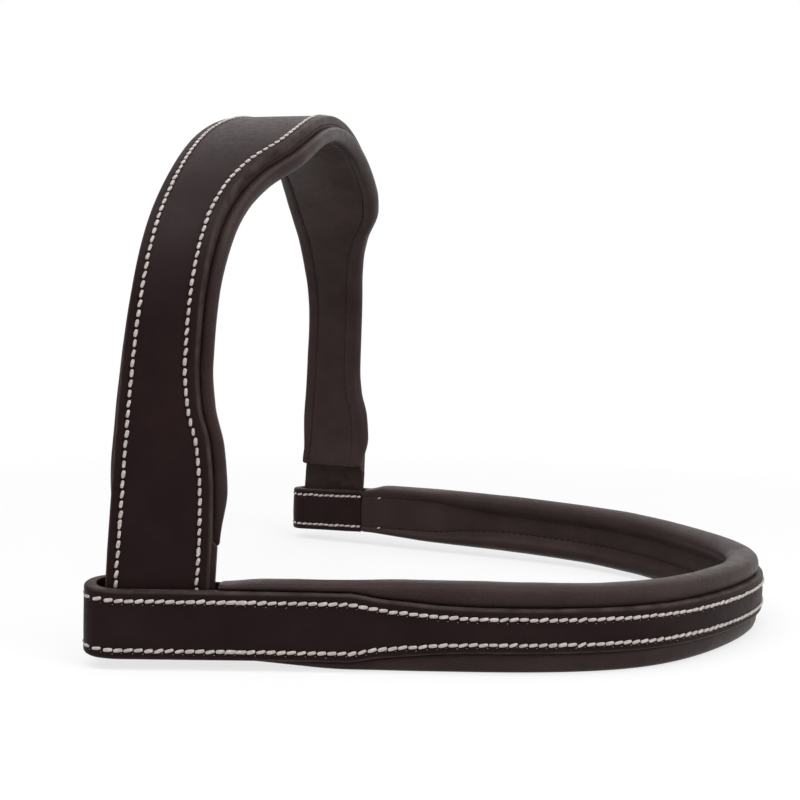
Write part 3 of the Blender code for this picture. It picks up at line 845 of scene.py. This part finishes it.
def browband_threads(material):
    """Two rows round both loops, a short stitch at each end of the strap, and the tacks' undersides."""
    sewing = Sewing(11)
    places = stitch_places(STRAP_END)
    for sign in (1, -1):
        def row(w, sign=sign):
            return sign * (half_height(strap_path(w)[2]) - STITCH_MARGIN)

        sewing.run(
            on_strap, row, THREAD_LIFT, places, BROWBAND_SLANT, BROWBAND_STITCH, BROWBAND_TACKS,
            specks=True,
        )
        ends = np.array([-1, 1]) * (STRAP_END - END_STITCH_INSET)
        sewing.run(on_strap, row, THREAD_LIFT, ends, BROWBAND_SLANT, END_STITCH, BROWBAND_TACKS)
        depth = BROWBAND_THICKNESS + GAP + FADED_CHANNEL + TACK_BAR_LIFT
        for s in (BROWBAND_TACKS[0] - TACK_BAR_INSET, TACK_BAR_INSET - BROWBAND_TACKS[0]):
            height = sign * (half_height(s) - STITCH_MARGIN)
            near, far = on_browband(s - 1, depth, height), on_browband(s + 1, depth, height)
            out = unit(on_browband(s, depth + 1, height) - on_browband(s, depth, height))
            middle = (near + far) / 2
            sewing.stitch(middle, unit(far - near), out, TACK_BAR_SLANT, TACK_BAR, TACK_BAR_RADIUS)
    return sewing.piece("browband_threads", material)


def crown_threads(material):
    """Stitches spaced evenly along each seam, from the near foot to the far one."""
    sewing = Sewing(21)
    lift = CROWN_FACE_THICKNESS + THREAD_LIFT
    near_end = NEAR_FOOT_MARGIN - CROWN_HALF_LENGTH
    far_end = CROWN_HALF_LENGTH - FAR_FOOT_SHORT - STITCH_PITCH
    for row, tack in ((front_row, CROWN_FRONT_TACK), (rear_row, CROWN_REAR_TACK)):
        c, length = seam(row)
        places = np.interp(stitch_places(length[-1]), length, c)
        places = places[(places > near_end) & (places < far_end)]
        sewing.run(on_crown, row, lift, places, -CROWN_SLANT, CROWN_STITCH, (CROWN_HALF_LENGTH - tack,))
    return sewing.piece("crown_threads", material)


def crown_base_strap(material):
    """The strap under the crown's face: proud of it in front along the leg, flush with it under the
    padding, and pared thinner there."""
    c = crown_strap_stations()
    flush = eased((from_pad_end(c) - GAP) / BASE_STRAP_SHOULDER)
    low, high = rear_edge(c), front_edge(c) + SEEN_BASE_PROUD * (1 - flush)
    top, back = BASE_OVERLAP + 0 * c, -GAP - base_thickness(c)
    across, out = [], []
    for side, sign, first in ((low, -1, True), (high, 1, True), (high, 1, False), (low, -1, False)):
        angles = (0, 30, 60, 90) if first == (sign < 0) else (90, 60, 30, 0)
        for angle in angles:
            a = math.radians(angle)
            across.append(side - sign * BASE_ROUNDING * (1 - math.cos(a)))
            drop = BASE_ROUNDING * (1 - math.sin(a))
            out.append(top - drop if first else back + drop)
    across, out = np.stack(across, 1), np.stack(out, 1)
    shade = 0 * out
    points = on_crown(c[:, None], across, out)
    # The whole base strap is paled towards its edge colour, which is partly wear and partly a painted
    # highlight
    piece = loft("crown_under_strap", points, shade + BASE_PALING, shade, material)
    outward_faces(piece)
    return piece


class Nodes:
    """A material's node tree, with short calls to add and join nodes."""

    def __init__(self, name):
        self.material = bpy.data.materials.new(name)
        self.material.use_nodes = True
        self.tree = self.material.node_tree
        self.shader = self.tree.nodes["Principled BSDF"]
        self.place = self.add("ShaderNodeTexCoord").outputs["Object"]

    def add(self, kind, **settings):
        node = self.tree.nodes.new(kind)
        for key, value in settings.items():
            if hasattr(node, key):
                setattr(node, key, value)
            else:
                node.inputs[key].default_value = value
        return node

    def join(self, source, target):
        self.tree.links.new(source, target)

    def noise(self, scale, detail=3.0, roughness=0.5):
        node = self.add("ShaderNodeTexNoise", Scale=scale, Detail=detail, Roughness=roughness)
        self.join(self.place, node.inputs["Vector"])
        return node.outputs["Fac"]

    def cells(self, scale):
        node = self.add("ShaderNodeTexVoronoi", Scale=scale)
        self.join(self.place, node.inputs["Vector"])
        return node.outputs["Distance"]

    def between(self, factor, low, high, start=0.0, stop=1.0):
        """Runs from low to high while the factor goes from start to stop."""
        node = self.add("ShaderNodeMapRange")
        for key, value in (("From Min", start), ("From Max", stop), ("To Min", low), ("To Max", high)):
            node.inputs[key].default_value = value
        self.join(factor, node.inputs["Value"])
        return node.outputs["Result"]

    def mix(self, factor, first, second):
        """A mix of two colours, which are inputs 6 and 7 of the node, with its result at output 2."""
        node = self.add("ShaderNodeMix", data_type="RGBA")
        self.join(factor, node.inputs["Factor"])
        for value, index in ((first, 6), (second, 7)):
            if isinstance(value, tuple):
                node.inputs[index].default_value = (*value, 1)
            else:
                self.join(value, node.inputs[index])
        return node.outputs[2]

    def calculate(self, kind, first, second):
        node = self.add("ShaderNodeMath", operation=kind)
        self.join(first, node.inputs[0])
        self.join(second, node.inputs[1])
        return node.outputs[0]

    def bump(self, height, strength, distance):
        node = self.add("ShaderNodeBump", Strength=strength, Distance=distance)
        self.join(height, node.inputs["Height"])
        self.join(node.outputs["Normal"], self.shader.inputs["Normal"])


def leather(name, dark, light, worn_and_lit_edge_colour, hole_shade_colour, roughness, grain, grain_strength, specular):
    """Dyed leather: mottled colour, fine cells of grain, edges paled by wear and a painted highlight,
    and painted shade in the needle holes.
    """
    n = Nodes(name)
    mottle = n.between(n.noise(MOTTLE_SCALE, detail=4), 0.0, 1.0, start=0.35, stop=0.68)
    colour = n.mix(mottle, dark, light)
    shade = n.add("ShaderNodeAttribute", attribute_name="shade")
    parts = n.add("ShaderNodeSeparateColor")
    n.join(shade.outputs["Color"], parts.inputs["Color"])
    # Edges pale towards the edge colour in patches: partly real wear, partly a painted highlight on the
    # rounded edges
    patches = n.between(n.noise(WEAR_SCALE), 0.35, 1.0, start=0.35, stop=0.6)
    colour = n.mix(n.calculate("MULTIPLY", parts.outputs["Red"], patches), colour, worn_and_lit_edge_colour)
    # Painted shade darkens the needle holes
    colour = n.mix(parts.outputs["Green"], colour, hole_shade_colour)
    n.join(colour, n.shader.inputs["Base Color"])
    fine = n.cells(grain)
    coarse = n.noise(grain * 0.35, detail=4, roughness=0.6)
    height = n.calculate("ADD", n.between(fine, 0.0, 1.0, stop=0.55), n.between(coarse, 0.0, 0.7))
    n.bump(height, grain_strength, GRAIN_HEIGHT)
    polish = n.noise(grain * 0.2)
    rough = n.between(polish, roughness - 0.05, roughness + 0.07, start=0.3, stop=0.7)
    n.join(rough, n.shader.inputs["Roughness"])
    n.shader.inputs["Specular IOR Level"].default_value = specular
    return n.material


def thread_material():
    """Waxed thread, matt and pale, a little uneven in its dye and twist."""
    n = Nodes("thread")
    tint = n.between(n.noise(DYE_SCALE), 0.0, 1.0, start=0.3, stop=0.7)
    n.join(n.mix(tint, (0.38, 0.335, 0.313), (0.54, 0.49, 0.46)), n.shader.inputs["Base Color"])
    n.bump(n.noise(TWIST_SCALE, detail=2), 0.5, TWIST_HEIGHT)
    n.shader.inputs["Roughness"].default_value = 0.8
    n.shader.inputs["Specular IOR Level"].default_value = 0.15
    return n.material


def floor_material():
    """Pale and matt. To the camera and in reflections it mostly glows under the object, so that only a
    soft shadow shows, and turns fully white farther out, where it meets the white of the world."""
    n = Nodes("floor")
    tint = n.noise(FLOOR_SCALE, detail=2)
    n.join(n.mix(tint, (0.84, 0.84, 0.84), (0.86, 0.86, 0.86)), n.shader.inputs["Base Color"])
    n.shader.inputs["Roughness"].default_value = 0.9
    n.shader.inputs["Specular IOR Level"].default_value = 0.1
    glow = n.add("ShaderNodeEmission", Strength=1.0)
    distance = n.add("ShaderNodeVectorMath", operation="LENGTH")
    n.join(n.place, distance.inputs[0])
    white = n.between(distance.outputs["Value"], FLOOR_GLOW, 1.0, WHITENS_FROM, WHITE_FROM)
    path = n.add("ShaderNodeLightPath")
    seen = n.calculate("MAXIMUM", path.outputs["Is Camera Ray"], path.outputs["Is Glossy Ray"])
    choice = n.add("ShaderNodeMixShader")
    n.join(n.calculate("MULTIPLY", white, seen), choice.inputs["Fac"])
    n.join(n.shader.outputs["BSDF"], choice.inputs[1])
    n.join(glow.outputs["Emission"], choice.inputs[2])
    n.join(choice.outputs["Shader"], n.tree.nodes["Material Output"].inputs["Surface"])
    return n.material


def add_camera():
    yaw, pitch, roll = (math.radians(a) for a in (CAMERA_YAW, CAMERA_PITCH, CAMERA_ROLL))
    level = Vector((math.sin(yaw), math.cos(yaw), 0))
    right = Vector((math.cos(yaw), -math.sin(yaw), 0))
    ahead = level * math.cos(pitch) - Vector((0, 0, math.sin(pitch)))
    up = level * math.sin(pitch) + Vector((0, 0, math.cos(pitch)))
    turned_right = right * math.cos(roll) + up * math.sin(roll)
    turned_up = up * math.cos(roll) - right * math.sin(roll)
    data = bpy.data.cameras.new("camera")
    data.lens = LENS
    data.sensor_width = SENSOR
    data.clip_start = 0.01
    camera = bpy.data.objects.new("camera", data)
    bpy.context.scene.collection.objects.link(camera)
    turn = Matrix((turned_right, turned_up, -ahead)).transposed().to_4x4()
    camera.matrix_world = Matrix.Translation(Vector(CAMERA_AT) * MM) @ turn
    bpy.context.scene.camera = camera


def add_light(name, place, aim, width, depth, watts):
    """A rectangular lamp that looks at aim."""
    data = bpy.data.lights.new(name, "AREA")
    data.shape = "RECTANGLE"
    data.size = width
    data.size_y = depth
    data.energy = watts
    light = bpy.data.objects.new(name, data)
    bpy.context.scene.collection.objects.link(light)
    way = Vector(aim) - Vector(place)
    light.matrix_world = Matrix.Translation(place) @ way.to_track_quat("-Z", "Y").to_matrix().to_4x4()


def add_floor():
    mesh = bpy.data.meshes.new("floor")
    signs = ((-1, -1), (1, -1), (1, 1), (-1, 1))
    corners = [(x * FLOOR_HALF_SIDE, y * FLOOR_HALF_SIDE, -FLOOR_DROP) for x, y in signs]
    mesh.from_pydata(corners, [], [(0, 1, 2, 3)])
    mesh.materials.append(floor_material())
    floor = bpy.data.objects.new("floor", mesh)
    bpy.context.scene.collection.objects.link(floor)


def add_world():
    """White to the camera, in reflections and through glass, and a dim even light for the rest."""
    world = bpy.data.worlds.new("studio")
    world.use_nodes = True
    tree = world.node_tree
    seen = tree.nodes["Background"]
    seen.inputs["Color"].default_value = (1, 1, 1, 1)
    seen.inputs["Strength"].default_value = 1.0
    around = tree.nodes.new("ShaderNodeBackground")
    around.inputs["Color"].default_value = (1.0, 0.99, 0.97, 1)
    around.inputs["Strength"].default_value = AMBIENT
    path = tree.nodes.new("ShaderNodeLightPath")
    white_to = path.outputs["Is Camera Ray"]
    for ray in ("Is Transmission Ray", "Is Glossy Ray"):
        either = tree.nodes.new("ShaderNodeMath")
        either.operation = "MAXIMUM"
        tree.links.new(white_to, either.inputs[0])
        tree.links.new(path.outputs[ray], either.inputs[1])
        white_to = either.outputs[0]
    choice = tree.nodes.new("ShaderNodeMixShader")
    tree.links.new(white_to, choice.inputs["Fac"])
    tree.links.new(around.outputs["Background"], choice.inputs[1])
    tree.links.new(seen.outputs["Background"], choice.inputs[2])
    tree.links.new(choice.outputs["Shader"], tree.nodes["World Output"].inputs["Surface"])
    bpy.context.scene.world = world


def add_stage():
    add_floor()
    add_world()
    add_light("overhead", (0.05, 0.05, 0.95), (0, 0, 0), 2.4, 2.4, OVERHEAD_WATTS)
    add_light("strip", (0.03, -0.23, 0.58), (0.02, -0.05, 0), 1.2, 0.2, STRIP_WATTS)
    add_light("front_left", (-0.3, -0.85, 0.82), (-0.02, 0, 0.08), 0.8, 0.5, KEY_WATTS)
    add_light("right", (0.85, -0.25, 0.22), (0, -0.05, 0.08), 0.5, 0.5, SIDE_WATTS)
    bpy.context.scene.view_settings.view_transform = "Standard"


def dress():
    """Makes every piece of the bridle, hides the CAD parts that it stands for and hangs it on the body
    that it rides on.
    """
    # Each leather's edge colour is partly wear and partly a painted highlight on the edges. Its hole
    # colour is painted shade in the needle holes
    strap = leather(
        "strap_leather", dark=(0.0130, 0.0062, 0.0067), light=(0.0178, 0.0088, 0.0092),
        worn_and_lit_edge_colour=(0.055, 0.041, 0.037), hole_shade_colour=(0.006, 0.004, 0.004),
        roughness=0.42, grain=2600, grain_strength=0.22, specular=0.05,
    )
    under = leather(
        "base_leather", dark=(0.020, 0.0110, 0.0105), light=(0.027, 0.0155, 0.0145),
        worn_and_lit_edge_colour=(0.055, 0.040, 0.037), hole_shade_colour=(0.002, 0.0015, 0.0015),
        roughness=0.48, grain=2600, grain_strength=0.22, specular=0.06,
    )
    liner = leather(
        "liner_leather", dark=(0.0278, 0.0168, 0.0160), light=(0.0376, 0.0235, 0.0221),
        worn_and_lit_edge_colour=(0.03, 0.025, 0.025), hole_shade_colour=(0.002, 0.0015, 0.0015),
        roughness=0.36, grain=1900, grain_strength=0.7, specular=0.08,
    )
    thread = thread_material()

    w = fine_stations(STRAP_END)
    edge = half_height(strap_path(w)[2])
    thickness = BROWBAND_THICKNESS - PLY_PARED * ply_pared(w)
    face = strap_piece(
        "browband_strap", on_strap, w, -edge, edge, thickness, STITCH_MARGIN,
        rounding=0.85, seed=1, sewn=(w, w), material=strap,
    )
    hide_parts("browband_face_strap")
    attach(face, "browband")

    c = crown_strap_stations()
    seams = [np.interp(c, *seam(row)) for row in (rear_row, front_row)]
    crown_face = strap_piece(
        "crown_outer_strap", on_crown_face, c, rear_edge(c), front_edge(c), CROWN_FACE_THICKNESS,
        CROWN_STITCH_MARGIN, rounding=0.8, seed=2, sewn=seams, material=strap,
    )
    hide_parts("crown_face_strap")
    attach(crown_face, "crown")

    padding = browband_padding(liner)
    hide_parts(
        "browband_liner", "browband_foam", "browband_upper_roll_core", "browband_lower_roll_core"
    )
    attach(padding, "browband")

    crown_pad = crown_padding(liner)
    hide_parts("crown_liner", "crown_foam", "crown_front_roll_core")
    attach(crown_pad, "crown")

    base_strap = crown_base_strap(under)
    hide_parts("crown_base_strap")
    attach(base_strap, "crown")

    for made, body in ((browband_threads(thread), "browband"), (crown_threads(thread), "crown")):
        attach(made, body)


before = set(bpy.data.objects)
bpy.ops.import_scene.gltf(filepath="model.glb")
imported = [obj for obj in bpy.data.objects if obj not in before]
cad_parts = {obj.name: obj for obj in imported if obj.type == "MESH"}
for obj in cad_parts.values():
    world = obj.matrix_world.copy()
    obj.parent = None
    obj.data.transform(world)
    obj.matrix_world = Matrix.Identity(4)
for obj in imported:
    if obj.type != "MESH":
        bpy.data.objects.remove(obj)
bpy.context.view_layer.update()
add_camera()
dress()
add_stage()
